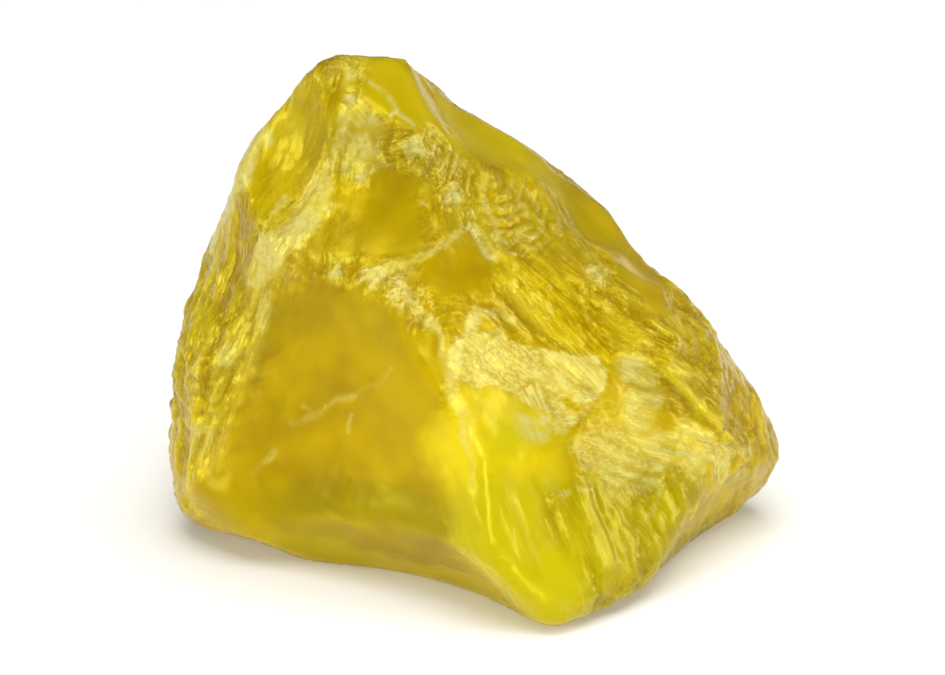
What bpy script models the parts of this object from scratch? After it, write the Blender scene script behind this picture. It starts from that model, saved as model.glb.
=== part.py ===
"""Raw citrine: one rough, slightly worn chunk of yellow quartz, a lopsided pyramid of fracture faces.

The chunk is one solid. It starts as the hull of its main corners, loses shallow bowl-shaped flakes
(conchoidal scars) from its faces and small chips from its ridges, is worn round and roughened, and is
flat where it rests. Frame: metres, +Z up, -Y towards the broad front ridge, origin on the resting face,
near its middle.
"""

import random
from collections import namedtuple

import bmesh
import bpy
from mathutils import Vector, noise
from mathutils.bvhtree import BVHTree

MM = 0.001

# Corners of the chunk before flaking, in millimetres, each where three or more fracture faces met.
CORNERS = {
    "apex_left": (-7.9, 1.0, 28.5),
    "apex_right": (-4.0, 2.6, 27.9),
    "apex_front": (-6.4, -0.8, 26.4),
    "shoulder_left": (-11.7, 1.8, 23.9),
    "cheek_left_top": (-15.5, 3.0, 18.2),
    "cheek_left_mid": (-16.1, 2.8, 11.6),
    "cheek_left_low": (-16.8, 2.0, 6.0),
    "left_toe": (-16.0, 1.4, 1.0),
    "left_ridge_top": (-9.8, -2.2, 18.8),
    "left_ridge_mid": (-12.0, -3.9, 12.8),
    "left_ridge_low": (-14.2, -3.4, 6.4),
    "front_ridge_top": (-3.4, -4.1, 18.0),
    "front_ridge_mid": (-1.8, -7.0, 13.0),
    "front_ridge_low": (-0.2, -9.4, 7.6),
    "front_toe": (4.7, -10.7, 0.6),
    "front_foot": (1.2, -10.0, 2.6),
    "left_foot": (-12.4, -1.9, 0.7),
    "right_brow_top": (0.4, 4.6, 23.7),
    "right_brow_mid": (5.2, 5.6, 20.1),
    "right_brow_low": (9.7, 5.6, 15.8),
    "right_shelf_top": (-0.9, 0.0, 23.0),
    "right_shelf_mid": (8.4, 0.2, 14.9),
    "right_shelf_low": (12.6, -1.0, 10.4),
    "right_cheek": (15.3, 4.2, 7.8),
    "right_tip": (17.0, 2.8, 3.6),
    "right_toe": (15.9, 3.8, 0.8),
    "right_foot": (11.0, -4.6, 0.7),
    "front_right_toe": (8.7, -7.5, 0.9),
    "back_right_foot": (10.8, 10.6, 1.0),
    "back_left_foot": (-7.8, 11.6, 1.0),
    "base_front": (4.3, -8.8, -0.3),
    "base_front_left": (-9.8, -0.8, -0.3),
    "base_left": (-13.0, 2.0, -0.3),
    "base_back_left": (-7.0, 10.0, -0.3),
    "base_back_right": (9.8, 9.2, -0.3),
    "base_right": (13.4, 3.6, -0.3),
    "base_front_right": (9.6, -3.4, -0.3),
    "back_left_toe": (-14.2, 7.0, 1.2),
    "back_right_hip": (12.6, 10.2, 7.2),
    "back_hip": (1.0, 13.4, 6.4),
    "back_left_hip": (-11.2, 10.4, 9.0),
    "back_right_shoulder": (5.6, 10.2, 15.8),
    "back_left_shoulder": (-6.8, 9.6, 17.8),
    "back_nape": (-2.6, 6.4, 24.0),
}

# A scar is a bowl struck out of the stone: its rim is WIDTH across, its middle is DEPTH under AT, and it
# opens along FACING. Places, widths and depths are millimetres.
Scar = namedtuple("Scar", "name at facing width depth")
FLAKES = (
    Scar("front_left_face", (-7.4, -4.3, 9.2), (-0.42, -0.90, 0.10), 14.5, 0.8),
    Scar("front_left_foot", (-6.0, -5.0, 1.3), (-0.34, -0.86, -0.38), 13.5, 1.3),
    Scar("left_face_low", (-15.8, -0.2, 6.4), (-0.90, -0.42, 0.06), 9.0, 0.5),
    Scar("left_face_high", (-13.5, 0.2, 15.0), (-0.82, -0.46, 0.34), 9.0, 0.55),
    Scar("left_notch", (-13.6, 2.4, 21.0), (-0.84, -0.12, 0.52), 4.0, 0.25),
    Scar("brow_dimple", (-4.2, -2.5, 20.1), (-0.12, -0.88, 0.46), 4.6, 0.7),
    Scar("apex_face", (-5.3, -0.8, 24.6), (0.03, -0.87, 0.49), 5.4, 0.25),
    Scar("temple", (-9.6, -0.9, 21.4), (-0.50, -0.76, 0.42), 5.4, 0.25),
    Scar("amber_window", (-0.6, -3.9, 17.2), (0.30, -0.78, 0.54), 5.0, 0.5),
    Scar("pale_window", (2.5, -5.0, 12.6), (0.44, -0.74, 0.50), 8.0, 0.8),
    Scar("under_window", (3.0, -7.6, 8.2), (0.44, -0.86, 0.26), 7.0, 0.5),
    Scar("right_window", (8.2, -4.7, 7.6), (0.54, -0.77, 0.34), 8.4, 0.6),
    Scar("right_notch", (12.9, -1.2, 0.6), (0.78, -0.56, -0.26), 7.2, 1.1),
    Scar("front_right_foot", (7.9, -8.0, 3.4), (0.58, -0.80, 0.10), 5.0, 0.25),
    Scar("shelf_swirl", (3.8, 0.2, 18.6), (0.46, -0.60, 0.65), 6.4, 0.6),
    Scar("shelf_lumps", (0.2, 0.2, 21.4), (0.40, -0.66, 0.64), 4.0, 0.3),
    Scar("mid_shelf", (5.2, -2.2, 15.4), (0.40, -0.72, 0.56), 5.6, 0.4),
    Scar("right_flank", (11.4, -2.2, 8.6), (0.64, -0.72, 0.26), 6.0, 0.4),
    Scar("right_band", (6.9, 4.4, 17.3), (0.62, -0.08, 0.78), 10.0, 0.4),
    Scar("back_right_face", (8.8, 9.8, 10.4), (0.52, 0.80, 0.30), 15.0, 1.3),
    Scar("back_left_face", (-9.2, 10.2, 12.0), (-0.55, 0.78, 0.30), 13.0, 1.1),
    Scar("back_foot", (1.0, 13.0, 3.0), (0.05, 0.99, -0.14), 12.0, 0.9),
    Scar("nape", (-3.6, 8.6, 20.0), (-0.05, 0.85, 0.52), 10.0, 0.8),
    Scar("spine", (0.6, 11.6, 11.6), (0.10, 0.92, 0.38), 7.0, 0.6),
    Scar("right_back_cheek", (14.8, 6.8, 4.6), (0.86, 0.48, 0.14), 8.0, 0.7),
    Scar("left_back_cheek", (-15.2, 6.2, 5.0), (-0.88, 0.46, 0.08), 8.0, 0.6),
    Scar("left_back_brow", (-11.8, 6.4, 18.2), (-0.72, 0.46, 0.52), 8.0, 0.6),
)

# Ridges between corners and the number of chips that each has lost.
CHIPPED_RIDGES = (
    ("apex_left", "shoulder_left", 2),
    ("shoulder_left", "cheek_left_top", 2),
    ("cheek_left_top", "cheek_left_low", 4),
    ("apex_front", "left_ridge_top", 3),
    ("left_ridge_top", "left_ridge_low", 5),
    ("left_ridge_top", "front_ridge_top", 2),
    ("front_ridge_top", "front_ridge_low", 4),
    ("apex_right", "right_brow_low", 5),
    ("right_shelf_top", "right_shelf_mid", 4),
    ("right_shelf_mid", "right_tip", 4),
    ("right_brow_low", "right_cheek", 3),
    ("left_toe", "front_toe", 5),
    ("front_toe", "right_toe", 5),
    ("back_nape", "back_left_shoulder", 2),
    ("back_nape", "back_right_shoulder", 3),
    ("back_left_shoulder", "back_left_hip", 3),
    ("back_right_shoulder", "back_right_hip", 3),
    ("back_left_hip", "back_hip", 3),
    ("back_hip", "back_right_hip", 3),
    ("back_left_hip", "back_left_toe", 3),
    ("back_right_hip", "right_cheek", 2),
    ("back_left_foot", "back_right_foot", 4),
)
CHIP_SEED = 11
CHIP_WIDTHS = (2.2, 5.2)  # millimetres across
CHIP_DEPTHS = (0.035, 0.065)  # shares of the width
CHIP_LEAN = 0.35  # how far a chip may lean from straight out
RIDGE_REACH = 1.6 * MM  # the surface within this of a ridge's point gives the way out

CELL = 0.40 * MM  # size of the even cells that the blank is skinned with
WORN_PASSES, CHIPPED_PASSES = 4, 2  # smoothing passes after the flakes and after the chips
SWELL_SIZE, SWELL_HEIGHT = 4.6 * MM, 0.22 * MM  # broad swells left between flakes
HACKLE_SIZE, HACKLE_HEIGHT = 1.9 * MM, 0.12 * MM  # sharp-crested steps that a fracture leaves as it runs
CLEAN_BASE = 0.9 * MM  # below this height the relief fades out, so that the base is flat
FACE_TRIANGLES = 8800
SLAB_SIDE, SLAB_THICKNESS = 60 * MM, 10 * MM

CITRINE_COLOUR = (0.58, 0.38, 0.012, 1.0)
CITRINE_ROUGHNESS = 0.28


def clear_scene():
    """Removes what the startup scene holds."""
    for thing in list(bpy.data.objects):
        bpy.data.objects.remove(thing)


def new_collection(name):
    """A collection linked to the scene."""
    collection = bpy.data.collections.new(name)
    bpy.context.scene.collection.children.link(collection)
    return collection


def mesh_object(name, shape, collection):
    """An object with the bmesh shape, which is freed."""
    mesh = bpy.data.meshes.new(name)
    shape.to_mesh(mesh)
    shape.free()
    made = bpy.data.objects.new(name, mesh)
    collection.objects.link(made)
    return made


def apply_modifiers(stone):
    """Replaces the stone's mesh by what its modifiers make of it."""
    graph = bpy.context.evaluated_depsgraph_get()
    made = bpy.data.meshes.new_from_object(stone.evaluated_get(graph))
    stone.modifiers.clear()
    stone.data = made


def blank(collection):
    """The hull of the chunk's corners."""
    shape = bmesh.new()
    for corner in CORNERS.values():
        shape.verts.new(Vector(corner) * MM)
    hull = bmesh.ops.convex_hull(shape, input=shape.verts)
    inside = [item for item in hull["geom_interior"] if isinstance(item, bmesh.types.BMVert)]
    bmesh.ops.delete(shape, geom=inside, context="VERTS")
    bmesh.ops.recalc_face_normals(shape, faces=shape.faces)
    return mesh_object("citrine", shape, collection)


def skin(stone):
    """Replaces the stone's faces by even cells, so that scars can be pressed into them."""
    remesh = stone.modifiers.new("skin", "REMESH")
    remesh.mode = "VOXEL"
    remesh.voxel_size = CELL
    apply_modifiers(stone)


def wear(stone, passes):
    """Rounds the stone's ridges."""
    smooth = stone.modifiers.new("wear", "SMOOTH")
    smooth.factor = 0.5
    smooth.iterations = passes
    apply_modifiers(stone)


def strike(stone, scar):
    """Presses the part of the stone that lies in the scar's ball back onto the ball."""
    width, depth = scar.width * MM, scar.depth * MM
    radius = (width**2 / 4 + depth**2) / (2 * depth)
    centre = Vector(scar.at) * MM + Vector(scar.facing).normalized() * (radius - depth)
    for vertex in stone.data.vertices:
        arm = vertex.co - centre
        if arm.length < radius:
            vertex.co = centre + arm.normalized() * radius


def ridge_chips(stone):
    """The chips along the ridges, each cut square to the way out of the stone at its place."""
    dice = random.Random(CHIP_SEED)
    surface = BVHTree.FromObject(stone, bpy.context.evaluated_depsgraph_get())
    chips = []
    for start, end, count in CHIPPED_RIDGES:
        first, last = Vector(CORNERS[start]) * MM, Vector(CORNERS[end]) * MM
        for index in range(count):
            point = first.lerp(last, (index + dice.uniform(0.2, 0.8)) / count)
            place = surface.find_nearest(point)[0]
            near = surface.find_nearest_range(place, RIDGE_REACH)
            outward = sum((normal for _, normal, _, _ in near), Vector()).normalized()
            lean = Vector([dice.uniform(-CHIP_LEAN, CHIP_LEAN) for _ in range(3)])
            width = dice.uniform(*CHIP_WIDTHS)
            depth = width * dice.uniform(*CHIP_DEPTHS)
            chips.append(Scar(f"{start}_{index}", place / MM, outward + lean, width, depth))
    return chips


def relief(point):
    """How far the surface stands off at a point, in metres: broad swells and sharp-crested hackles."""
    swell = noise.noise(point / SWELL_SIZE)
    bend = noise.noise_vector(point / SWELL_SIZE) * 0.6
    hackle = 0.4 - abs(noise.noise(point / HACKLE_SIZE + bend))
    clean = min(max(point.z / CLEAN_BASE, 0.0), 1.0)
    return (swell * SWELL_HEIGHT + hackle * HACKLE_HEIGHT) * clean


def roughen(stone):
    """Moves each point of the surface out or in along its normal by the relief."""
    moves = [vertex.normal * relief(vertex.co) for vertex in stone.data.vertices]
    for vertex, move in zip(stone.data.vertices, moves):
        vertex.co += move
    stone.data.update()


def thin_out(stone):
    """Merges the flattest faces, until the stone has FACE_TRIANGLES."""
    collapse = stone.modifiers.new("thin_out", "DECIMATE")
    triangles = sum(len(face.vertices) - 2 for face in stone.data.polygons)
    collapse.ratio = FACE_TRIANGLES / triangles
    collapse.use_collapse_triangulate = True
    apply_modifiers(stone)


def flatten_base(stone, collection):
    """Cuts off what lies under z = 0, which leaves the flat face that the stone rests on."""
    shape = bmesh.new()
    bmesh.ops.create_cube(shape, size=1.0)
    bmesh.ops.scale(shape, vec=(SLAB_SIDE, SLAB_SIDE, SLAB_THICKNESS), verts=shape.verts)
    slab = mesh_object("resting_slab", shape, collection)
    slab.location.z = -SLAB_THICKNESS / 2
    slab.hide_render = True
    slab.display_type = "WIRE"
    cut = stone.modifiers.new("flatten_base", "BOOLEAN")
    cut.operation = "DIFFERENCE"
    cut.solver = "EXACT"
    cut.object = slab
    apply_modifiers(stone)


def citrine_material():
    """Yellow quartz, glassy where it is clean."""
    material = bpy.data.materials.new("citrine")
    material.use_nodes = True
    shader = material.node_tree.nodes["Principled BSDF"]
    shader.inputs["Base Color"].default_value = CITRINE_COLOUR
    shader.inputs["Roughness"].default_value = CITRINE_ROUGHNESS
    shader.inputs["Metallic"].default_value = 0.0
    return material


def main():
    """Builds the chunk."""
    clear_scene()
    stone_collection = new_collection("raw_citrine")
    cutters = new_collection("cutters")
    stone = blank(stone_collection)
    skin(stone)
    for flake in FLAKES:
        strike(stone, flake)
    skin(stone)
    wear(stone, WORN_PASSES)
    for chip in ridge_chips(stone):
        strike(stone, chip)
    skin(stone)
    wear(stone, CHIPPED_PASSES)
    roughen(stone)
    thin_out(stone)
    flatten_base(stone, cutters)
    stone.data.shade_smooth()
    stone.data.materials.clear()
    stone.data.materials.append(citrine_material())


main()
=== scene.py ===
"""The looks of the raw citrine: its broken skin in full detail, its see-through yellow, and a studio.

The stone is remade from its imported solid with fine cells. It is flaked, stepped, rippled and scratched as
quartz breaks, and dressed as clear yellow quartz that is frosted where it is crushed. Metres, +Z up, and -Y
to the front. The tables of zones, cracks, ripples and knobs are in millimetres, and the paths of zones and
cracks are laid on the skin where it is nearest.
"""

import logging
import math
from dataclasses import dataclass, field
from enum import Enum

import bpy
import numpy as np
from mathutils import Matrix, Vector, kdtree, noise
from mathutils.bvhtree import BVHTree


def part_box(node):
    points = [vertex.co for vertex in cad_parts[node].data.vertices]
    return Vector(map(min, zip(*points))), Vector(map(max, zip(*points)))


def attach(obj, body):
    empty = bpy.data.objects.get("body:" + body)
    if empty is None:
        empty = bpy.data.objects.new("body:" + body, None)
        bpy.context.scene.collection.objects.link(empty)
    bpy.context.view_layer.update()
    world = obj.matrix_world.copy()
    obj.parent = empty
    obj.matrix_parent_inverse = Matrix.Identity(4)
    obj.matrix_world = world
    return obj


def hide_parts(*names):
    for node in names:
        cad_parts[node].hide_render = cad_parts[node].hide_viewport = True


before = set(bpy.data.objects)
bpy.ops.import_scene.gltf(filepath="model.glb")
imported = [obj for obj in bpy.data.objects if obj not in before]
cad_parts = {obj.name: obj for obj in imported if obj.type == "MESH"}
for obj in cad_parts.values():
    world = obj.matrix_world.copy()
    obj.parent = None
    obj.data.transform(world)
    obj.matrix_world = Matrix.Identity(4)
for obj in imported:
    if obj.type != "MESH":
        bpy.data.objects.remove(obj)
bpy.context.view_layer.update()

MM = 0.001
TINY = 1e-9  # keeps a division from zero
log = logging.getLogger("raw_citrine")


def linear(hex_colour: str) -> tuple[float, float, float, float]:
    """Turns an sRGB colour into the linear one that shaders and lamps work with.

    Args:
        hex_colour: The colour as "#rrggbb".

    Returns:
        Red, green, blue and an alpha of 1.
    """
    shares = [int(hex_colour[place : place + 2], 16) / 255 for place in (1, 3, 5)]
    lit = [share / 12.92 if share <= 0.04045 else ((share + 0.055) / 1.055) ** 2.4 for share in shares]
    return (lit[0], lit[1], lit[2], 1.0)


def add_node(
    tree: bpy.types.NodeTree, kind: str, settings: dict | None = None, inputs: dict | None = None
) -> bpy.types.Node:
    """Adds a node with its settings, socket values and links.

    Args:
        tree: The node tree that gets the node.
        kind: The node's Blender type, without the ShaderNode that all of them start with.
        settings: Attributes of the node and their values.
        inputs: Input sockets, by name or index, and what each gets: a value, or an output socket to link.

    Returns:
        The new node.
    """
    node = tree.nodes.new("ShaderNode" + kind)
    for name, value in (settings or {}).items():
        setattr(node, name, value)
    for name, value in (inputs or {}).items():
        if isinstance(value, bpy.types.NodeSocket):
            tree.links.new(value, node.inputs[name])
        else:
            node.inputs[name].default_value = value
    return node


def new_tree(material: bpy.types.Material) -> tuple[bpy.types.NodeTree, bpy.types.Node]:
    """Empties a material's node tree.

    Args:
        material: The material.

    Returns:
        The tree and its output node.
    """
    material.use_nodes = True
    material.node_tree.nodes.clear()
    return material.node_tree, material.node_tree.nodes.new("ShaderNodeOutputMaterial")


def drift(points: np.ndarray, size: float, shift: float) -> np.ndarray:
    """Smooth noise at points.

    Args:
        points: Places, one in each row, in metres.
        size: The width of one hump of the noise, in metres.
        shift: Where in the noise to read, so that two fields differ.

    Returns:
        About -1 to 1 for each point.
    """
    away = Vector((shift, -shift, 2.0 * shift))
    return np.array([noise.noise(Vector(point) / size + away) for point in points])


def wander(points: np.ndarray, size: float, shifts: tuple[float, float, float]) -> np.ndarray:
    """Smooth noise in three directions.

    Args:
        points: Places, one in each row, in metres.
        size: The width of one hump of the noise, in metres.
        shifts: Where in the noise to read for each direction.

    Returns:
        A row of three numbers for each point, each about -1 to 1.
    """
    return np.stack([drift(points, size, shift) for shift in shifts], axis=1)


def smoothstep(values: np.ndarray, low: float, high: float) -> np.ndarray:
    """Eases values from 0 at low to 1 at high."""
    share = np.clip((values - low) / (high - low), 0.0, 1.0)
    return share * share * (3.0 - 2.0 * share)


class Skin(Enum):
    """How a stretch of the stone's skin broke: how crushed that leaves it, and how frosted."""

    CLEAN = (0.0, 0.0)
    HAZY = (0.14, 0.12)
    STEPPED = (0.36, 0.05)
    SPLINTERY = (0.80, 0.10)
    CRUSHED = (0.85, 0.60)
    VEILED = (0.42, 0.80)
    # on the glare and pale window zones this frost is partly a painted highlight
    FROSTED = (0.50, 1.0)


@dataclass(frozen=True)
class Zone:
    """A stretch of skin along a path, of one kind. A later zone lies over an earlier one. Millimetres."""

    name: str
    path: tuple[tuple[float, float, float], ...]
    reach: float
    skin: Skin
    fade: float = 0.45  # share of the reach over which it gives way to its neighbours
    run: tuple[float, float, float] | None = None  # the way that its scratches run
    tone: float = 0.24  # 0 where the citrine is deep yellow to 1 where it is bright


ZONES = (
    Zone("left_top_face", ((-8.7, 0.9, 25.7), (-9.8, 1.4, 23.4), (-10.5, 0.7, 21.4), (-11.0, -0.8, 19.6)),
         1.5, Skin.STEPPED, 0.6, (-0.30, 0.0, -0.95), 0.38),
    Zone("left_strip", ((-12.8, 1.3, 16.6), (-13.5, -0.4, 13.0), (-14.4, -0.8, 9.0), (-15.4, -0.2, 4.6)),
         2.6, Skin.SPLINTERY, 0.5, (-0.16, -0.12, -0.98), 0.27),
    Zone("left_ridge",
         ((-7.9, -1.0, 21.8), (-9.4, -2.1, 19.3), (-11.4, -1.3, 13.9), (-13.4, -1.4, 8.7),
          (-15.2, -0.6, 3.2)), 1.0, Skin.CRUSHED, 0.7, (-0.40, -0.05, -0.91), 0.34),
    Zone("front_left_face", ((-6.8, -4.0, 13.4), (-9.0, -3.4, 8.6), (-9.6, -3.2, 4.4)),
         4.0, Skin.CLEAN, 0.5, (-0.35, 0.0, -0.94), 0.10),
    Zone("front_left_low", ((-13.2, -2.1, 3.4), (-10.0, -3.2, 2.9), (-5.6, -4.6, 2.7), (-1.9, -6.3, 2.6)),
         2.0, Skin.CLEAN, 0.6, (-0.35, 0.0, -0.94), 0.22),
    Zone("front_left_foot",
         ((-13.7, -0.9, 1.4), (-11.3, -2.4, 1.4), (-7.9, -2.9, 1.0), (-4.7, -3.6, 0.6), (-1.4, -5.0, 0.5),
          (1.1, -6.9, 0.4)), 1.3, Skin.CLEAN, 0.6, None, 0.52),
    Zone("ridge_face", ((-4.1, -5.1, 14.0), (-3.8, -5.5, 10.2), (-3.8, -5.9, 6.5), (-3.2, -6.0, 4.4)),
         2.3, Skin.CLEAN, 0.7, (-0.10, -0.20, -0.97), 0.20),
    Zone("left_shoulder", ((-9.6, -1.6, 19.4), (-10.9, -1.6, 16.8)),
         1.4, Skin.CRUSHED, 0.6, (-0.40, 0.0, -0.90), 0.31),
    # The two glare zones below: their pale frost is a painted highlight, the lamps' glare along the left
    # ridge and the left rim
    Zone("ridge_painted_glare",
         ((-7.9, -1.0, 21.8), (-8.5, -1.7, 20.5), (-9.4, -2.1, 19.3), (-10.4, -1.9, 18.0),
          (-11.3, -1.1, 16.5)), 0.85, Skin.FROSTED, 0.6, (-0.40, -0.05, -0.91), 0.51),
    Zone("outer_painted_glare",
         ((-11.4, 1.9, 22.9), (-12.0, 1.4, 21.5), (-12.9, 2.6, 19.5), (-13.3, 3.8, 17.8),
          (-13.8, 3.8, 16.4)), 0.9, Skin.FROSTED, 0.6, (-0.30, -0.10, -0.95), 0.48),
    Zone("apex_tip", ((-6.2, 0.4, 27.0), (-5.7, 0.0, 25.4)),
         0.95, Skin.CRUSHED, 0.3, (-0.20, 0.0, -0.98), 0.48),
    Zone("apex_face", ((-5.5, -0.1, 24.6), (-5.4, -0.3, 23.0)),
         1.6, Skin.VEILED, 0.3, (-0.20, 0.0, -0.98), 0.48),
    Zone("brow_dimple", ((-4.5, -1.1, 20.8), (-4.3, -2.1, 19.4)), 1.5, Skin.CLEAN, 0.4, None, 0.24),
    Zone("brow_rim", ((-7.0, -3.5, 18.0), (-4.8, -3.7, 18.0), (-2.8, -5.0, 16.6)),
         0.9, Skin.CRUSHED, 0.6, None, 0.27),
    Zone("amber_window", ((-1.4, -3.4, 18.0), (-0.2, -2.9, 17.8), (1.0, -2.6, 17.4)),
         1.2, Skin.CLEAN, 0.5, None, 0.18),
    Zone("shelf_lumps", ((-3.1, -0.3, 24.1), (-1.0, -0.2, 21.4), (-0.2, -0.4, 19.9)),
         1.5, Skin.CRUSHED, 0.6),
    Zone("shelf_swirl", ((1.8, 0.4, 19.4), (3.2, 1.2, 18.9)), 2.1, Skin.STEPPED, 0.5, None, 0.24),
    Zone("mid_shelf", ((2.8, -2.0, 16.9), (4.9, -2.0, 15.1), (6.7, -1.9, 13.8)),
         2.0, Skin.SPLINTERY, 0.7, (0.72, -0.20, -0.66), 0.24),
    Zone("right_band", ((-4.1, 1.2, 26.7), (-1.9, 2.3, 24.5), (0.5, 4.2, 22.0), (3.7, 5.4, 20.0)),
         1.9, Skin.CLEAN, 0.25, (0.70, 0.10, -0.70), 0.54),
    Zone("right_band_low", ((5.9, 5.4, 17.5), (7.7, 4.1, 15.9), (9.3, 2.1, 14.7)),
         1.9, Skin.CLEAN, 0.25, (0.70, 0.10, -0.70), 0.28),
    Zone("band_crest", ((-3.5, 2.9, 27.2), (-3.0, 3.3, 26.3), (-2.4, 3.0, 25.2), (-1.6, 2.0, 24.1)),
         1.0, Skin.STEPPED, 0.9, (0.50, 0.10, -0.86), 0.46),
    Zone("right_bevel", ((7.4, -0.9, 14.6), (9.8, -1.1, 12.7), (12.0, -0.8, 9.8), (14.1, 0.0, 6.6)),
         2.1, Skin.SPLINTERY, 0.6, (0.60, 0.25, -0.76), 0.15),
    Zone("under_window", ((0.6, -6.5, 11.5), (2.7, -6.3, 9.8), (4.2, -6.5, 8.5)),
         1.7, Skin.HAZY, 0.6, (0.40, -0.40, -0.82), 0.68),
    Zone("right_window", ((6.6, -5.1, 7.9), (9.1, -3.6, 7.0), (11.8, -2.5, 6.4)),
         1.9, Skin.VEILED, 0.5, (0.85, 0.30, -0.42), 0.34),
    Zone("right_window_top", ((8.5, -2.3, 11.8), (8.9, -2.8, 10.0), (8.1, -3.6, 8.7)),
         1.0, Skin.VEILED, 0.8, (0.85, 0.30, -0.42), 0.32),
    Zone("haze_patch", ((2.8, -6.1, 10.0), (4.0, -5.7, 9.7)),
         0.7, Skin.VEILED, 0.9, (0.40, -0.40, -0.82), 0.66),
    # The pale window zones below: their pale frost is partly the stone's milky veil and partly a painted
    # reflection of a softbox
    Zone("pale_window",
         ((-0.3, -5.4, 13.9), (1.2, -4.5, 13.4), (3.0, -3.9, 12.4), (4.9, -3.7, 11.8), (5.9, -3.5, 11.7)),
         1.3, Skin.FROSTED, 0.14, (0.80, -0.10, -0.58), 0.22),
    Zone("window_top", ((0.0, -4.4, 15.5), (-0.2, -5.1, 14.3)), 0.5, Skin.FROSTED, 0.3, None, 0.34),
    Zone("window_tail", ((3.2, -4.6, 11.3), (4.6, -5.0, 10.1)),
         0.75, Skin.FROSTED, 0.2, (0.80, -0.10, -0.58), 0.34),
    # The two glow zones below: their bright tone is painted light, the glow of light passing through the
    # thin lower front of the stone
    Zone("front_painted_glow", ((0.5, -8.1, 8.8), (1.5, -9.1, 5.8), (3.5, -10.0, 2.8)),
         3.0, Skin.HAZY, 0.5, (0.40, -0.40, -0.82), 1.0),
    Zone("painted_glow_right", ((6.0, -7.1, 5.4), (7.2, -7.5, 3.5)),
         1.9, Skin.STEPPED, 0.6, (0.40, -0.40, -0.82), 0.56),
    Zone("right_low_face", ((10.2, -5.0, 3.9), (12.3, -1.9, 3.4), (14.7, 1.6, 2.6)),
         2.0, Skin.STEPPED, 0.4, (0.20, 0.10, -0.97), 0.46),
    Zone("right_tip", ((12.7, -1.6, 6.3), (13.3, -1.3, 5.3), (13.7, -0.6, 5.8)), 0.6, Skin.FROSTED, 0.6),
    Zone("back_right_face", ((5.6, 9.8, 13.6), (9.6, 9.6, 7.0)),
         4.4, Skin.CLEAN, 0.4, (0.50, 0.20, -0.84), 0.15),
    Zone("back_left_face", ((-8.2, 9.6, 13.6), (-9.4, 9.6, 6.0)),
         3.4, Skin.SPLINTERY, 0.6, (-0.30, 0.20, -0.93)),
    Zone("nape", ((-4.0, 7.4, 22.0), (-3.2, 9.2, 17.6)), 3.0, Skin.CLEAN, 0.4, (0.00, 0.30, -0.95), 0.10),
)


@dataclass(frozen=True)
class Crack:
    """A fine bright line where a fracture stopped or a flake's edge stands; along the rims it is a painted
    highlight. Millimetres.
    """

    name: str
    path: tuple[tuple[float, float, float], ...]
    width: float  # from its middle to where it has faded
    brightness: float  # how frosted it is at most


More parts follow.
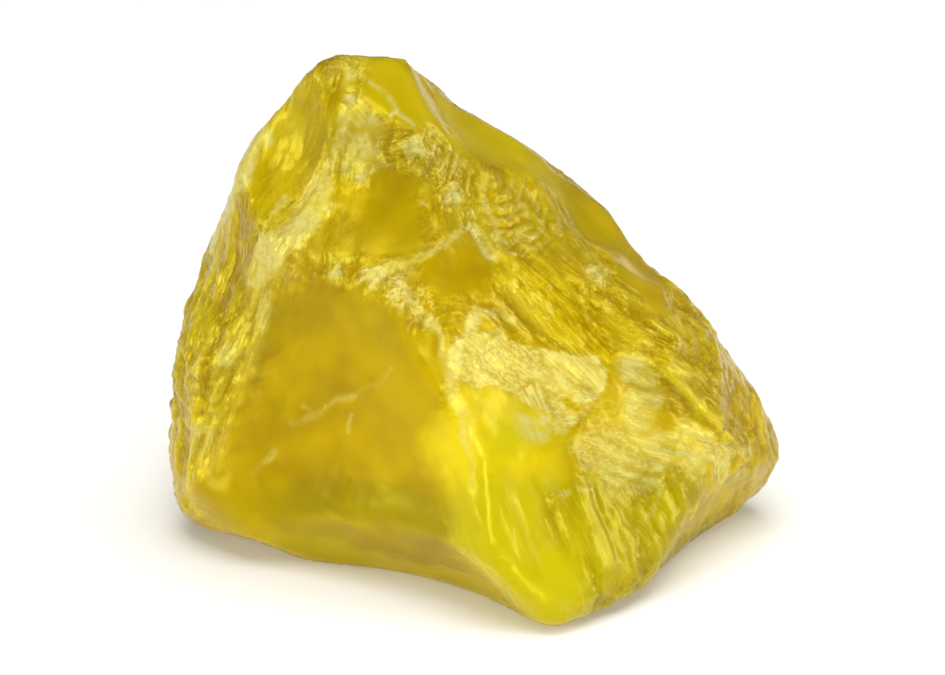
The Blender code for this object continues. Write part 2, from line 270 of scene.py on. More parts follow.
CRACKS = (
    Crack("face_crack_top", ((-4.3, -5.0, 13.1), (-4.8, -4.7, 12.3), (-5.3, -4.4, 11.7), (-5.9, -4.1, 11.2)),
          0.20, 0.30),
    Crack("face_crack", ((-6.1, -4.0, 11.0), (-6.7, -3.6, 10.7), (-7.3, -3.4, 10.2), (-7.8, -3.2, 9.8)),
          0.24, 0.40),
    Crack("face_crack_beads", ((-8.0, -3.1, 9.5), (-8.5, -2.9, 9.2), (-9.0, -2.7, 8.8), (-9.6, -2.5, 8.7)),
          0.30, 0.26),
    Crack("face_crack_spur", ((-8.7, -2.7, 9.8), (-8.2, -3.0, 9.5)), 0.24, 0.30),
    Crack("face_crack_low", ((-10.6, -2.4, 6.7), (-11.1, -2.4, 6.1), (-11.7, -2.4, 5.5)), 0.24, 0.42),
    Crack("face_stroke", ((-6.4, -3.9, 9.8), (-6.7, -3.8, 8.7)), 0.24, 0.40),
    Crack("ridge_line",
          ((-1.7, -5.1, 15.3), (-1.4, -6.0, 13.1), (-0.8, -6.7, 11.8), (-0.5, -7.4, 10.4), (-0.2, -7.8, 9.1),
           (-0.1, -8.2, 7.8)), 0.30, 0.75),
    Crack("ridge_line_twin", ((-0.9, -5.0, 14.9), (-0.8, -6.4, 12.6), (-0.2, -7.1, 11.2), (0.2, -7.7, 9.7)),
          0.26, 0.60),
    Crack("brow_beads", ((-4.0, -4.0, 17.8), (-3.3, -5.0, 17.1), (-2.6, -5.1, 16.0), (-2.0, -5.0, 15.6)),
          0.50, 0.70),
    Crack("amber_edge",
          ((-3.4, -3.8, 18.1), (-2.7, -3.4, 18.6), (-1.9, -3.0, 19.0), (-0.9, -2.0, 19.3),
           (-0.5, -1.2, 19.5)), 0.34, 0.60),
    Crack("window_left_edge",
          ((0.2, -4.2, 15.7), (-0.5, -5.0, 14.7), (-1.1, -5.5, 13.9), (-1.1, -6.2, 12.9)), 0.34, 0.85),
    Crack("window_top_edge", ((0.1, -4.0, 16.0), (1.3, -3.6, 15.4), (2.3, -3.3, 14.7)), 0.26, 0.80),
    Crack("window_low_edge",
          ((0.5, -5.3, 12.9), (1.7, -5.0, 12.0), (3.0, -5.0, 10.9), (4.1, -5.3, 10.0), (4.7, -5.6, 9.6),
           (5.5, -4.8, 10.2)), 0.24, 0.60),
    Crack("window_right_edge", ((6.2, -2.8, 12.8), (6.9, -3.0, 11.9), (6.7, -3.7, 11.0), (5.8, -4.5, 10.3)),
          0.28, 0.60),
    Crack("apex_right_edge",
          ((-6.4, 0.6, 27.4), (-5.3, 0.6, 26.9), (-4.5, 0.4, 26.2), (-3.9, 0.2, 25.5), (-3.2, -0.1, 24.8)),
          0.24, 0.75),
    Crack("apex_left_edge", ((-6.4, 0.1, 26.1), (-6.8, -0.3, 24.4), (-7.2, -0.6, 23.2), (-7.8, -1.0, 21.9)),
          0.34, 0.60),
    Crack("shoulder_streak", ((-10.4, -0.7, 20.0), (-9.8, -0.3, 20.7)), 0.34, 0.60),
    Crack("shelf_step", ((0.0, -1.0, 19.3), (0.5, -1.4, 18.6), (1.0, -1.8, 18.1)), 0.50, 0.90),
    Crack("swirl_outer",
          ((0.6, 0.4, 20.1), (1.0, 0.0, 19.5), (1.3, -0.4, 18.8), (1.6, -0.7, 18.5), (2.1, -0.5, 18.4),
           (2.6, 0.0, 18.4), (3.1, 0.1, 18.2)), 0.24, 0.75),
    Crack("swirl_low", ((1.1, -0.8, 18.6), (1.5, -1.1, 18.2), (2.2, -1.2, 17.9)), 0.22, 0.70),
    Crack("swirl_low_right", ((2.4, -0.4, 18.3), (2.8, -0.5, 17.8), (3.4, -0.2, 17.7)), 0.22, 0.60),
    Crack("swirl_inner", ((1.8, 0.2, 19.1), (2.2, 0.8, 19.4), (2.6, 1.6, 19.4), (3.0, 1.2, 18.9)),
          0.20, 0.55),
    Crack("swirl_right", ((3.2, 2.3, 19.6), (3.4, 1.9, 19.0), (3.7, 1.2, 18.4)), 0.22, 0.65),
    Crack("swirl_far_right", ((3.6, 2.8, 19.5), (4.1, 2.9, 19.1), (4.4, 2.2, 18.6), (4.6, 1.4, 18.0)),
          0.24, 0.65),
    Crack("low_right_line", ((10.1, -4.0, 5.6), (9.6, -4.9, 4.6), (8.9, -5.7, 4.0)), 0.24, 0.40),
    Crack("low_speck_left", ((4.5, -7.0, 6.7), (5.1, -6.9, 6.7)), 0.22, 0.70),
    Crack("low_speck_right", ((5.7, -6.5, 6.8), (6.3, -6.1, 6.5)), 0.22, 0.70),
    # The three rim lines below are painted highlights, where the rims catch the light just inside the
    # outline
    Crack("left_rim_highlight",
          ((-11.6, 2.2, 22.8), (-12.6, 2.6, 20.4), (-13.4, 3.4, 18.0), (-14.8, 3.2, 14.0),
           (-15.6, 2.2, 11.0), (-16.1, 1.7, 7.1), (-16.3, 1.5, 4.4), (-16.1, 1.1, 2.5)), 0.24, 0.55),
    Crack("band_rim_highlight",
          ((-4.1, 2.8, 27.4), (-1.9, 4.8, 24.9), (0.8, 5.8, 22.2), (3.7, 6.6, 20.0), (6.5, 7.0, 17.4)),
          0.22, 0.50),
    Crack("right_rim_highlight",
          ((10.7, 4.1, 13.8), (11.8, 3.3, 12.5), (13.4, 3.3, 10.1), (14.7, 3.4, 8.1), (15.7, 2.7, 6.3),
           (16.1, 2.1, 4.9), (16.3, 2.7, 3.2)), 0.24, 0.55),
    Crack("tip_line", ((12.7, -1.6, 6.3), (13.3, -1.3, 5.3), (13.7, -0.6, 5.8), (15.1, 0.9, 5.2)),
          0.40, 0.60),
)


@dataclass(frozen=True)
class Ripple:
    """Rings that spread over a face from where it was struck. Millimetres."""

    name: str
    struck_at: tuple[float, float, float]
    seen_at: tuple[float, float, float]
    reach: float
    spacing: float
    height: float
    glare: float  # how pale its crests are painted: a painted glint


RIPPLES = (
    Ripple("swirl_rings", (0.2, 2.2, 21.6), (2.4, 0.8, 19.0), 2.8, 0.66, 0.048, 0.34),
    Ripple("strip_rings", (-20.0, -6.0, 22.0), (-14.2, 0.4, 11.0), 6.0, 0.90, 0.026, 0.12),
    Ripple("front_face_rings", (-1.0, -6.0, 16.0), (-8.6, -3.6, 8.4), 6.6, 1.30, 0.012, 0.0),
    Ripple("back_rings", (2.0, 12.0, 16.0), (8.4, 9.6, 9.6), 6.4, 1.10, 0.022, 0.0),
)


@dataclass(frozen=True)
class Knob:
    """A small rounded lump that stands proud of a broken edge; its top is painted pale, a painted highlight.
    Millimetres.
    """

    at: tuple[float, float, float]
    width: float
    height: float
    frost: float = 1.0  # how pale its top is painted: a painted highlight


KNOBS = (
    Knob((-3.0, -0.4, 23.5), 1.7, 0.24, 2.0),
    Knob((-2.2, -0.2, 22.9), 1.0, 0.16),
    Knob((-1.1, -0.4, 20.9), 1.6, 0.26, 2.0),
    Knob((-0.2, -0.4, 19.9), 0.9, 0.16),
    Knob((-2.5, -1.5, 20.8), 0.7, 0.14),
    Knob((-6.2, 0.1, 26.0), 0.9, 0.10, 1.6),
    Knob((-5.2, -0.1, 25.0), 0.8, 0.12, 1.2),
    Knob((-5.2, -0.3, 23.4), 1.2, 0.14, 1.6),
    Knob((-4.2, 0.1, 25.2), 0.8, 0.10, 1.4),
    Knob((-6.6, -0.7, 22.8), 1.0, 0.10),
    Knob((-5.6, -1.0, 21.9), 1.1, 0.12, 1.2),
    Knob((-7.0, -3.5, 18.0), 0.9, 0.14, 1.8),
    Knob((-5.2, -3.8, 17.9), 1.8, 0.20, 1.7),
    Knob((-3.8, -4.4, 17.7), 0.8, 0.14, 1.8),
    Knob((-3.0, -5.1, 16.7), 0.8, 0.14, 1.8),
    Knob((-2.3, -5.0, 15.8), 0.7, 0.12, 1.8),
    Knob((4.6, 1.3, 18.0), 0.9, 0.16),
    Knob((6.6, 0.2, 16.0), 1.8, 0.18, 1.7),
    Knob((13.3, -1.3, 5.4), 0.9, 0.12),
)


@dataclass(frozen=True)
class CitrineFinish:
    """Citrine: quartz, coloured by iron, raw from the hammer.

    Quartz is clear and breaks like glass, so clean faces are wet-looking and deep yellow; crushed faces and
    veils of tiny cracks scatter light and are pale and frosted.
    """

    name: str = "citrine_raw_quartz"
    deep_hex: str = "#b09002"
    bright_hex: str = "#fde80a"
    veil_hex: str = "#f6ee8e"
    glint_hex: str = "#fff04c"
    glint: float = 0.30
    absorbed: tuple[float, float, float] = (0.95, 0.905, 0.10)
    absorption: float = 120.0  # one over metres
    ior: float = 1.544
    see_through: float = 0.60
    fibre_width: float = 0.17 * MM
    grit_width: float = 0.17 * MM
    streaks: tuple[float, float] = (0.42, 0.64)  # heights of the fibres where streaks begin and are full
    specks: tuple[float, float] = (0.50, 0.68)  # the same of the grit
    speck_strength: float = 0.5
    veil_torn: tuple[float, float] = (0.25, 0.85)  # how streaked a veil is, from clean to crushed
    veil_even: tuple[float, float] = (0.62, 0.36)  # how even it is, from clean to crushed
    roughness: tuple[float, float] = (0.25, 0.15)  # a soft shine where clean, glitter where crushed
    bumpiness: tuple[float, float] = (0.10, 1.0)  # share of the relief, from clean to crushed
    crest_painted_light: float = 0.42  # painted light: how far streaks brighten the crushed yellow, as they rise on the relief of the fibres
    # painted shade: how much darker the crushed yellow is in the hollows between the streaks
    hollow_painted_shade: float = -0.08
    relief: float = 0.045 * MM
    grit_relief: float = 0.5  # share of the relief that the grit has

    def material(self) -> bpy.types.Material:
        """Makes the stone's material.

        Returns:
            A see-through shader with absorption inside, and fibres, grit and veils on its surface.
        """
        made = bpy.data.materials.new(self.name)
        tree, out = new_tree(made)
        places = add_node(tree, "TexCoord").outputs["Object"]
        crushed, frost, tone = (
            add_node(tree, "Attribute", {"attribute_name": name}).outputs["Fac"]
            for name in ("crushed", "frost", "tone")
        )
        grain = add_node(tree, "Attribute", {"attribute_name": "grain"}).outputs["Vector"]
        threads = {"Vector": grain, "Scale": 1.0 / self.fibre_width, "Detail": 1.5, "Roughness": 0.6}
        threads["Distortion"] = 0.25
        fibres = add_node(tree, "TexNoise", None, threads).outputs["Fac"]
        grains = {"Vector": places, "Scale": 1.0 / self.grit_width, "Detail": 1.0, "Roughness": 0.5}
        grit = add_node(tree, "TexNoise", None, grains).outputs["Fac"]
        smooth = {"interpolation_type": "SMOOTHSTEP"}
        span = {"Value": fibres, "From Min": self.streaks[0], "From Max": self.streaks[1]}
        streak = add_node(tree, "MapRange", smooth, span).outputs["Result"]
        span = {"Value": grit, "From Min": self.specks[0], "From Max": self.specks[1]}
        span["To Max"] = self.speck_strength
        speck = add_node(tree, "MapRange", smooth, span).outputs["Result"]
        torn = add_node(tree, "Math", {"operation": "ADD"}, {0: streak, 1: speck}).outputs["Value"]
        torn_share, even_share, roughness, bumpiness = (
            add_node(tree, "MapRange", None, {"Value": crushed, "To Min": clean, "To Max": torn_up})
            .outputs["Result"]
            for clean, torn_up in (self.veil_torn, self.veil_even, self.roughness, self.bumpiness)
        )
        steady = {"operation": "MULTIPLY_ADD"}
        worn = add_node(tree, "Math", steady, {0: torn, 1: torn_share, 2: even_share}).outputs["Value"]
        clamped = {"operation": "MULTIPLY", "use_clamp": True}
        veil = add_node(tree, "Math", clamped, {0: worn, 1: frost}).outputs["Value"]
        # Painted shade and light: the crushed yellow is darker in the hollows of the fibres and grit, and
        # brighter on their crests.
        contrast = {0: torn, 1: self.crest_painted_light, 2: self.hollow_painted_shade}
        relief_painted_shade = add_node(tree, "Math", steady, contrast).outputs["Value"]
        clamped = {"operation": "MULTIPLY_ADD", "use_clamp": True}
        shade = add_node(tree, "Math", clamped, {0: relief_painted_shade, 1: crushed, 2: tone}).outputs["Value"]
        mixed = {"data_type": "RGBA"}
        yellows = {"Factor": shade, 6: linear(self.deep_hex), 7: linear(self.bright_hex)}
        body = add_node(tree, "Mix", mixed, yellows).outputs[2]
        veiling = {"Factor": veil, 6: body, 7: linear(self.veil_hex)}
        colour = add_node(tree, "Mix", mixed, veiling).outputs[2]
        rise = {"Strength": bumpiness, "Distance": self.relief, "Height": fibres}
        combed = add_node(tree, "Bump", None, rise).outputs["Normal"]
        rise = {"Strength": bumpiness, "Distance": self.relief * self.grit_relief, "Height": grit}
        normal = add_node(tree, "Bump", None, {**rise, "Normal": combed}).outputs["Normal"]
        skin = {
            "Base Color": colour,
            "Roughness": roughness,
            "IOR": self.ior,
            "Specular IOR Level": self.glint,
            "Specular Tint": linear(self.glint_hex),
            "Transmission Weight": self.see_through,
            "Normal": normal,
        }
        shader = add_node(tree, "BsdfPrincipled", None, skin)
        inside = {"Color": (*self.absorbed, 1.0), "Density": self.absorption}
        depth = add_node(tree, "VolumeAbsorption", None, inside)
        tree.links.new(shader.outputs["BSDF"], out.inputs["Surface"])
        tree.links.new(depth.outputs["Volume"], out.inputs["Volume"])
        return made


@dataclass
class BareSkin:
    """The stone's skin before it is worked."""

    points: np.ndarray
    normals: np.ndarray
    ends: np.ndarray  # the two points of each edge
    tree: BVHTree


@dataclass
class SkinMap:
    """What the stone's skin is like at each of its points."""

    crushed: np.ndarray  # 0 where it broke clean to 1 where it is crushed
    frosted: np.ndarray  # 0 where it is full of colour to 1 where it is pale
    tone: np.ndarray  # 0 where it is deep yellow to 1 where it is bright
    ways: np.ndarray  # the way that its scratches run


@dataclass
class Relief:
    """What has been worked into the skin at each of its points."""

    ridges: np.ndarray  # 0 on faces and in hollows to 1 on ridges
    cracks: np.ndarray  # how frosted the cracks are
    rings: np.ndarray  # how pale the crests of the rings are painted: a painted glint
    knobs: np.ndarray  # how pale the tops of the knobs are painted: a painted highlight
    hackles: np.ndarray  # about -1 to 1, highest on the hackles
    seams: np.ndarray  # 1 where fibres of unlike run meet
    grain: np.ndarray  # its place, with the lengths along the fibres drawn in
    clear: np.ndarray  # 0 on the flat underside to 1 clear of it


@dataclass
class CitrineStone:
    """The chunk of citrine, remade from its solid at full detail.

    In a call of drift the last number only says where in the noise it reads.
    """

    finish: CitrineFinish = field(default_factory=CitrineFinish)
    node: str = "citrine"
    cell: float = 0.18 * MM
    worn_passes: int = 31
    plain_crushed: float = 0.40  # between the zones, before it varies
    plain_spread: float = 0.5  # how far it varies
    plain_patch: float = 4.6 * MM  # width of the patches in which it varies
    plain_frosted: float = 0.3  # share of how crushed it is there
    plain_tone: float = 0.20
    plain_run: float = 9.0 * MM  # width of a stretch where the scratches there run alike
    bead_spacing: float = 0.25 * MM  # along the paths of zones and cracks
    zone_wander: float = 0.7 * MM
    zone_bay: float = 2.2 * MM  # width of the bays of a zone's edge
    zone_nick: float = 0.7 * MM  # width of its nicks, which are half as deep
    tone_fade: tuple[float, float] = (0.6, 1.5)  # reaches between which a zone's tone gives way
    run_hold: tuple[float, float] = (0.1, 0.6)  # hold of a zone from which its scratches turn and are set
    crack_wander: float = 0.28 * MM
    crack_bay: float = 1.1 * MM  # width of its bends
    crack_gap: float = 0.8 * MM  # width of its faint stretches
    crack_faint: float = 0.35  # share of its brightness in them
    crack_depth: float = 0.05 * MM
    ridge_spread: int = 24  # rounds of averaging that a ridge is measured against
    ridge_heights: tuple[float, float] = (0.02 * MM, 0.16 * MM)
    flakes: int = 70
    flake_widths: tuple[float, float] = (0.8 * MM, 2.6 * MM)
    flake_depths: tuple[float, float] = (0.025, 0.055)  # shares of the width
    flake_lean: float = 0.16
    flake_bite: float = 1.4  # share of its depth past which a flake would scoop, and is left out
    lowest_flake: float = 1.2 * MM
    flake_chances: tuple[float, ...] = (0.03, 0.9, 0.6)  # anywhere, more on ridges and where crushed
    flake_edge: tuple[float, float] = (0.55, 0.75)  # shares of the width between which it runs out
    ring_wander: float = 0.35 * MM
    ring_bay: float = 2.6 * MM  # width of the bends of a ring
    knob_wander: float = 0.40 * MM
    knob_bay: float = 0.6 * MM  # width of the bends of a knob's edge
    facet_counts: tuple[int, ...] = (240, 1000, 4200)
    facet_tilts: tuple[float, ...] = (0.035, 0.050, 0.060)
    facet_wander: float = 0.7 * MM
    facet_bay: float = 1.0 * MM  # width of the bends of a facet's edge
    facet_run: float = 1.5  # how strongly facets follow the scratches
    clean_facet: float = 0.06  # share of its tilt that a facet has where the skin is clean
    tilted_share: float = 0.5
    fibre_draw: float = 7.0  # length of a fibre over its width
    veiled_draw: float = 2.6  # the same where the skin is veiled or frosted
    veiled_from: float = 0.65  # how frosted the skin is there at least
    seam_bend: float = 0.9999  # cosine of the bend past which fibres don't run on
    hackle_widths: tuple[float, ...] = (1.0 * MM, 0.46 * MM)
    hackle_heights: tuple[float, ...] = (0.055 * MM, 0.038 * MM)
    hackle_draw: float = 8.0  # length of a hackle over its width
    hackle_step: float = 0.45  # share of the width between the places that are averaged along it
    clean_hackle: float = 0.08  # share of its height that a hackle has where the skin is clean
    pebble_width: float = 0.85 * MM
    pebble_height: float = 0.13 * MM
    patch_width: float = 2.4 * MM  # of the patches that veils come in
    glare_width: float = 0.9 * MM  # of the patches in which the crests of the rings get their painted glint
    ridge_frost: float = 0.35  # how frosted a crushed ridge is
    ridge_crushed: float = 0.3  # how much more crushed a ridge is than its faces
    knob_smooth: float = 0.5  # how much less crushed a knob is
    hackle_painted_shade: float = 0.22  # painted shade: how much brighter the crests of crushed skin are painted, and darker the hollows between them
    clouds: tuple[tuple[float, float, float], ...] = ((4.0 * MM, 0.16, 19.0), (1.3 * MM, 0.14, 29.0))
    most_frost: float = 1.5
    underside: float = 0.05 * MM  # height under which a point is on the flat underside
    clear_height: float = 0.7 * MM  # height from which the skin has its full relief
    seed: int = 7

    def build(self) -> bpy.types.Object:
        """Makes the stone's mesh.

        Returns:
            The stone, inside its solid's box.
        """
        dice = np.random.default_rng(self.seed)
        stone = self.skinned()
        mesh = stone.data
        ends = np.empty(len(mesh.edges) * 2, dtype=np.int32)
        mesh.edges.foreach_get("vertices", ends)
        tree = BVHTree.FromObject(stone, bpy.context.evaluated_depsgraph_get())
        bare = BareSkin(self.read(mesh, "co"), self.read(mesh, "normal"), ends.reshape(-1, 2), tree)
        skin, cracks, ridges = self.mapped(bare), self.cracking(bare), self.convexity(bare)
        points = self.flaked(bare, skin.crushed, ridges, dice)
        points, rings = self.rippled(points, bare.normals)
        points, knobs = self.knobbed(points, bare.normals)
        mesh.vertices.foreach_set("co", points.ravel())
        mesh.update()
        normals = self.read(mesh, "normal")
        lift, grain, seams = self.faceted(points, normals, skin, bare.ends, dice)
        along = self.laid_flat(skin.ways, normals)
        hackles = [self.combed(points, along, width, 11.0 * width / MM) for width in self.hackle_widths]
        share = self.clean_hackle + (1.0 - self.clean_hackle) * skin.crushed
        for hackle, height in zip(hackles, self.hackle_heights):
            lift += hackle * height * share
        lift += drift(points, self.pebble_width, 87.0) * self.pebble_height * skin.crushed
        lift -= np.minimum(2.0 * cracks, 1.0) * self.crack_depth
        height = bare.points[:, 2]
        clear = smoothstep(height, self.underside, self.clear_height)
        points = points + normals * (lift * clear)[:, None]
        points[:, 2] = np.where(height < self.underside, 0.0, np.maximum(points[:, 2], 0.0))
        low, high = (np.array(corner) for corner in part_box(self.node))
        points = np.clip(points, low, high)
        mesh.vertices.foreach_set("co", points.ravel())
        mesh.update()
        relief = Relief(ridges, cracks, rings, knobs, 0.6 * sum(hackles), seams, grain, clear)
        self.paint(mesh, bare.points, skin, relief)
        mesh.shade_smooth()
        return stone

    def paint(self, mesh: bpy.types.Mesh, solid: np.ndarray, skin: SkinMap, relief: Relief) -> None:
        """Keeps what the material reads: how crushed, frosted and bright each point is, and its grain.

        Args:
            mesh: The finished mesh.
            solid: Where its points were before the skin was worked.
            skin: What the skin is like at each.
            relief: What has been worked into it.
        """
        whole = 1.0 - relief.seams  # a seam is kept plain, so that it doesn't show
        patchy = smoothstep(drift(solid, self.patch_width, 77.0), -0.35, 0.45)
        wisps_and_glints = smoothstep(relief.hackles, -0.3, 1.3)  # veils cling to the crests of the hackles, and the pale crests are also painted glints
        frost = skin.frosted * (0.25 + wisps_and_glints) * (0.25 + 0.75 * patchy)
        frost += self.ridge_frost * relief.ridges * wisps_and_glints * skin.crushed
        frost += smoothstep(skin.frosted, 0.6, 1.0) * (0.6 + 0.4 * wisps_and_glints)  # frosted skin is pale all over
        frost = np.clip(frost * (0.4 + 0.6 * whole), 0.0, 1.0)
        # painted highlights on the tops of the knobs
        frost += relief.cracks + relief.knobs * (0.4 + 0.8 * wisps_and_glints)
        # painted glints on the crests of the rings
        frost += relief.rings * smoothstep(drift(solid, self.glare_width, 47.0), -0.3, 0.3)
        # painted shade in the hollows between the hackles and painted light on their crests
        tone = skin.tone + self.hackle_painted_shade * relief.hackles * skin.crushed
        tone += sum(strength * drift(solid, width, shift) for width, strength, shift in self.clouds)
        crushed = skin.crushed + self.ridge_crushed * relief.ridges - self.knob_smooth * relief.knobs
        crushed = np.clip(crushed, 0.0, 1.0) * np.maximum(relief.clear, 0.3) * whole
        frost = np.clip(frost, 0.0, self.most_frost) * relief.clear
        kept = {"crushed": crushed, "frost": frost, "tone": np.clip(tone, 0.0, 1.0), "grain": relief.grain}
        for name, values in kept.items():
            kind, member = ("FLOAT", "value") if values.ndim == 1 else ("FLOAT_VECTOR", "vector")
            attribute = mesh.attributes.new(name, kind, "POINT")
            attribute.data.foreach_set(member, values.astype(np.float32).ravel())

    def skinned(self) -> bpy.types.Object:
        """Covers the solid with even cells and rounds its flat triangles away.

        Returns:
            The new object, with its modifiers applied.
        """
        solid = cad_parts[self.node]
        made = bpy.data.objects.new("citrine_stone", solid.data.copy())
        bpy.context.scene.collection.objects.link(made)
        remesh = made.modifiers.new("skin", "REMESH")
        remesh.mode = "VOXEL"
        remesh.voxel_size = self.cell
        smooth = made.modifiers.new("wear", "SMOOTH")
        smooth.factor = 0.5
        smooth.iterations = self.worn_passes
        graph = bpy.context.evaluated_depsgraph_get()
        mesh = bpy.data.meshes.new_from_object(made.evaluated_get(graph))
        made.modifiers.clear()
        made.data = mesh
        mesh.materials.clear()
        return made

    @staticmethod
    def read(mesh: bpy.types.Mesh, name: str) -> np.ndarray:
        """Reads a vector of each vertex.

        Args:
            mesh: The mesh.
            name: The vector's name, co or normal.

        Returns:
            One row for each vertex.
        """
        values = np.empty(len(mesh.vertices) * 3, dtype=np.float32)
        mesh.vertices.foreach_get(name, values)
        return values.reshape(-1, 3).astype(float)

    def away_from(self, points: np.ndarray, path: tuple, surface: BVHTree, reach: float) -> np.ndarray:
        """How far points are from a path that is laid on the skin.

        Args:
            points: The points, in metres.
            path: The path's corners, in millimetres, near the skin.
            surface: The skin.
            reach: The distance in metres that counts as one.

        Returns:
            The distances over the reach, and infinity for points that are over two reaches away.
        """
        corners = [Vector(corner) * MM for corner in path]
        beads = [corners[-1]]
        for start, end in zip(corners, corners[1:]):
            count = max(int((end - start).length / self.bead_spacing), 1)
            beads += [start.lerp(end, step / count) for step in range(count)]
        laid = [surface.find_nearest(bead)[0] for bead in beads]
        tree = kdtree.KDTree(len(laid))
        for place, bead in enumerate(laid):
            tree.insert(bead, place)
        tree.balance()
        low, high = np.min(laid, axis=0) - 2.0 * reach, np.max(laid, axis=0) + 2.0 * reach
        near = np.flatnonzero(((points > low) & (points < high)).all(axis=1))
        away = np.full(len(points), np.inf)
        away[near] = [tree.find(Vector(points[index]))[2] / reach for index in near]
        return away

    @staticmethod
    def flattened(ways: np.ndarray, normals: np.ndarray) -> np.ndarray:
        """Takes from ways what points out of the skin."""
        return ways - (ways * normals).sum(axis=1)[:, None] * normals

    def laid_flat(self, ways: np.ndarray, normals: np.ndarray) -> np.ndarray:
        """Lays ways flat on the skin and makes them one long."""
        flat = self.flattened(ways, normals)
        return flat / np.maximum(np.linalg.norm(flat, axis=1), TINY)[:, None]

    def mapped(self, bare: BareSkin) -> SkinMap:
        """Lays the named zones on the skin.

        Args:
            bare: The skin.

        Returns:
            What the skin is like at each point.
        """
        points = bare.points
        stray = wander(points, self.zone_bay, (3.1, 17.7, 41.3))
        stray += 0.5 * wander(points, self.zone_nick, (9.1, 27.7, 51.3))
        strayed = points + self.flattened(stray, bare.normals) * self.zone_wander
        crushed = self.plain_crushed + self.plain_spread * drift(points, self.plain_patch, 63.0)
        frosted = self.plain_frosted * crushed
        tone = np.full(len(points), self.plain_tone)
        ways = 1.5 * wander(points, self.plain_run, (2.9, 14.3, 33.7))
        ways[:, 2] -= 0.5  # more of them run down the stone than across it
        for zone in ZONES:
            away = self.away_from(strayed, zone.path, bare.tree, zone.reach * MM)
            hold = 1.0 - smoothstep(away, 1.0 - zone.fade / 2, 1.0 + zone.fade / 2)
            blend = 1.0 - smoothstep(away, *self.tone_fade)
            crushing, frosting = zone.skin.value
            crushed = crushed + (crushing - crushed) * hold
            frosted = frosted + (frosting - frosted) * hold
            tone = tone + (zone.tone - tone) * blend
            if zone.run is not None:
                ways = ways + (np.array(zone.run) - ways) * smoothstep(hold, *self.run_hold)[:, None]
        length = np.maximum(np.linalg.norm(ways, axis=1), TINY)
        crushed, frosted, tone = (np.clip(values, 0.0, 1.0) for values in (crushed, frosted, tone))
        return SkinMap(crushed, frosted, tone, ways / length[:, None])

    def cracking(self, bare: BareSkin) -> np.ndarray:
        """Lays the fine bright cracks on the skin.

        Args:
            bare: The skin.

        Returns:
            0 beside the cracks to their brightness on them.
        """
        points = bare.points
        stray = wander(points, self.crack_bay, (81.1, 93.7, 15.3))
        strayed = points + self.flattened(stray, bare.normals) * self.crack_wander
        broken = smoothstep(drift(points, self.crack_gap, 7.7), -0.35, 0.15)
        strong = self.crack_faint + (1.0 - self.crack_faint) * broken
        found = np.zeros(len(points))
        for crack in CRACKS:
            away = self.away_from(strayed, crack.path, bare.tree, crack.width * MM)
            on = (1.0 - smoothstep(away, 0.25, 1.0)) * strong
            found = np.maximum(found, on * crack.brightness)
        return found

    def convexity(self, bare: BareSkin) -> np.ndarray:
        """How sharp a ridge each point is on.

        Args:
            bare: The skin.

        Returns:
            0 on faces and in hollows to 1 on ridges.
        """
        points, ends = bare.points, bare.ends
        count = np.bincount(ends.ravel(), minlength=len(points)).astype(float)
        spread = points
        for _ in range(self.ridge_spread):
            total = np.zeros_like(points)
            for axis in range(3):
                total[:, axis] = np.bincount(ends[:, 0], spread[ends[:, 1], axis], len(points))
                total[:, axis] += np.bincount(ends[:, 1], spread[ends[:, 0], axis], len(points))
            spread = total / count[:, None]
        proud = ((points - spread) * bare.normals).sum(axis=1)
        return smoothstep(proud, *self.ridge_heights)

    def flaked(
        self, bare: BareSkin, crushed: np.ndarray, ridges: np.ndarray, dice: np.random.Generator
    ) -> np.ndarray:
        """Strikes small bowl-shaped flakes, mostly along the ridges and where the skin is crushed.

        Args:
            bare: The skin.
            crushed: How crushed each point is.
            ridges: How sharp a ridge each is on.
            dice: The source of chance.

        Returns:
            The new points.
        """
        points, normals = bare.points, bare.normals
        anywhere, on_ridges, on_crushed = self.flake_chances
        chance = (anywhere + on_ridges * ridges + on_crushed * crushed) * (points[:, 2] > self.lowest_flake)
        struck = dice.choice(len(points), self.flakes, replace=False, p=chance / chance.sum())
        made = points.copy()
        for index in struck:
            width = dice.uniform(*self.flake_widths)
            depth = width * dice.uniform(*self.flake_depths)
            radius = (width**2 / 4 + depth**2) / (2 * depth)
            facing = normals[index] + dice.normal(0.0, self.flake_lean, 3)
            facing /= np.linalg.norm(facing)
            centre = made[index] + facing * (radius - depth)
            arms = made - centre
            far = np.linalg.norm(arms, axis=1)
            inner, outer = (share * width for share in self.flake_edge)
            hold = 1.0 - smoothstep(np.linalg.norm(made - made[index], axis=1), inner, outer)
            push = np.maximum(radius - far, 0.0) * hold
            if push.max() < self.flake_bite * depth:
                made = made + arms * (push / far)[:, None]
        return made

    def rippled(self, points: np.ndarray, normals: np.ndarray) -> tuple[np.ndarray, np.ndarray]:
        """Raises the named rings on their faces.

        Args:
            points: The skin's points.
            normals: Their normals.

        Returns:
            The new points, and how much painted glint the crests leave on each.
        """
        waver = drift(points, self.ring_bay, 37.0) * self.ring_wander
        lift, glare = np.zeros(len(points)), np.zeros(len(points))
        for ripple in RIPPLES:
            ring = np.linalg.norm(points - np.array(ripple.struck_at) * MM, axis=1) + waver
            near = np.linalg.norm(points - np.array(ripple.seen_at) * MM, axis=1) / (ripple.reach * MM)
            wave = np.sin(2 * math.pi * ring / (ripple.spacing * MM))
            hold = 1.0 - smoothstep(near, 0.5, 1.0)
            lift += (wave - 0.5 * wave**2) * ripple.height * MM * hold  # sharp hollows between round crests
            # the crests are painted pale: a painted glint
            glare = np.maximum(glare, smoothstep(wave, 0.3, 1.0) * hold * ripple.glare)
        return points + normals * lift[:, None], glare

